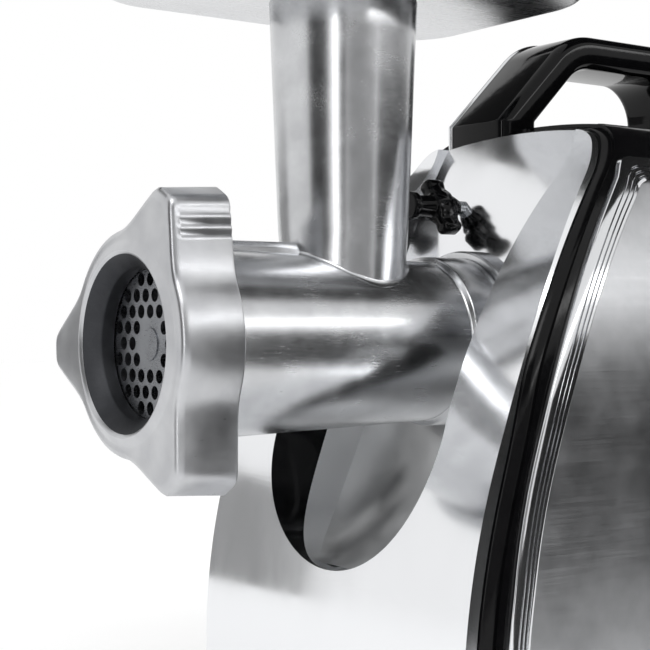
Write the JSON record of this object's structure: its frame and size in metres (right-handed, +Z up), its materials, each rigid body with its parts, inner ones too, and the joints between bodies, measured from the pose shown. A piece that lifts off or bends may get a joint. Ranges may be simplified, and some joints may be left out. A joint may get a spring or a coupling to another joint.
{
  "type": "electric meat grinder",
  "caption": "Electric meat grinder with a cast grinding head, feed tray and pusher on a motor housing with a mirror front and carry handle.",
  "frame": {"origin": "on the table, under the middle of the box around the machine", "axes": "+Z up, the grinding head points along -X, the buttons are on the -Y side"},
  "size_m": [0.3358, 0.184, 0.3776],
  "materials": {
    "polished_cast": "cast and polished",
    "ground_steel": "ground",
    "tray_aluminium": "pressed and polished",
    "bronze": "sintered",
    "white_nylon": "moulded",
    "shaft_steel": "turned",
    "black_gloss": "high gloss",
    "dark_cap": "gloss",
    "mirror_chrome": "mirror",
    "trim_chrome": "polished",
    "black_abs": "gloss",
    "satin_steel": "satin",
    "base_black": "fine grain",
    "foot_rubber": "matte",
    "die_cast": "die cast",
    "laminated_steel": "laminated",
    "copper": "enamelled wire",
    "inner_plastic": "moulded",
    "board_green": "solder mask",
    "zinc_screws": "zinc plated"
  },
  "bodies": {
    "housing": {"front_mask": "mirror_chrome", "socket_collar": "polished_cast", "housing_right": "black_abs", "housing_left": "black_abs", "side_trim_right": "trim_chrome", "side_trim_left": "trim_chrome", "side_panel_right": "satin_steel", "side_panel_left": "satin_steel", "base_plate": "base_black", "feet": "foot_rubber", "carry_handle": "black_gloss", "handle_inlay": "trim_chrome", "rear_grille": "black_abs", "cord_gland": "black_abs", "button_bezel": "black_gloss", "switch_block": "inner_plastic", "circuit_board": "board_green", "knob_nut": "copper", "gear_case_front": "die_cast", "gear_case_rear": "die_cast", "output_bearing": "bronze", "motor_stator": "laminated_steel", "field_coils": "copper", "motor_bearings": "shaft_steel", "motor_bracket": "die_cast", "brush_holders": "inner_plastic", "motor_bolts": "zinc_screws", "case_screws": "zinc_screws", "collar_screws": "zinc_screws", "base_screws": "zinc_screws"},
    "head": {"feed_head": "polished_cast", "hole_plate": "ground_steel", "head_bush": "bronze", "thrust_washer": "white_nylon"},
    "ring": {"screw_ring": "polished_cast"},
    "worm": {"auger": "ground_steel", "knife": "ground_steel", "auger_coupling": "white_nylon", "output_shaft": "shaft_steel", "output_gear": "white_nylon"},
    "second": {"second_gear": "white_nylon", "second_shaft": "shaft_steel"},
    "first": {"first_gear": "white_nylon", "first_shaft": "shaft_steel"},
    "rotor": {"motor_shaft": "shaft_steel", "armature": "copper", "commutator": "copper", "cooling_fan": "inner_plastic"},
    "tray": {"filler_tray": "tray_aluminium"},
    "pusher": {"pusher_body": "black_gloss", "pusher_cap": "dark_cap"},
    "knob": {"locking_knob": "black_gloss", "knob_screw": "shaft_steel"},
    "power": {"power_button": "trim_chrome"},
    "reverse": {"reverse_button": "trim_chrome"}
  },
  "joints": [
    {"name": "worm_spin", "type": "hinge", "parent": "housing", "child": "worm", "pos_m": [-0.01615, 0, 0.178], "axis": [1, 0, 0], "continuous": true},
    {"name": "second_spin", "type": "hinge", "parent": "housing", "child": "second", "pos_m": [0.02885, 0.02497, 0.13182], "axis": [1, 0, 0], "continuous": true},
    {"name": "first_spin", "type": "hinge", "parent": "housing", "child": "first", "pos_m": [0.04385, -0.01401, 0.11196], "axis": [1, 0, 0], "continuous": true},
    {"name": "motor_spin", "type": "hinge", "parent": "housing", "child": "rotor", "pos_m": [0.10385, 0, 0.07988], "axis": [1, 0, 0], "continuous": true},
    {"name": "head_bayonet", "type": "hinge", "parent": "housing", "child": "head", "pos_m": [-0.00615, 0, 0.178], "axis": [1, 0, 0], "range_deg": [-45, 0]},
    {"name": "ring_turn", "type": "hinge", "parent": "head", "child": "ring", "pos_m": [-0.15415, 0, 0.178], "axis": [-1, 0, 0], "range_deg": [0, 540]},
    {"name": "tray_lift", "type": "slide", "parent": "head", "child": "tray", "axis": [0, 0, 1], "range_m": [0, 0.045]},
    {"name": "pusher_slide", "type": "slide", "parent": "tray", "child": "pusher", "axis": [0, 0, 1], "range_m": [0, 0.11]},
    {"name": "knob_turn", "type": "hinge", "parent": "housing", "child": "knob", "pos_m": [-0.00115, 0.018, 0.2355], "axis": [1, 0, 0], "range_deg": [0, 90]},
    {"name": "power_press", "type": "slide", "parent": "housing", "child": "power", "axis": [0, 1, 0], "range_m": [0, 0.003], "stiffness_N_per_m": 500, "springref_m": -0.001},
    {"name": "reverse_press", "type": "slide", "parent": "housing", "child": "reverse", "axis": [0, 1, 0], "range_m": [0, 0.003], "stiffness_N_per_m": 500, "springref_m": -0.001}
  ],
  "couplings": [
    {"joint": "second_spin", "follows": "worm_spin", "ratio": -4},
    {"joint": "first_spin", "follows": "worm_spin", "ratio": 16},
    {"joint": "motor_spin", "follows": "worm_spin", "ratio": -64}
  ]
}
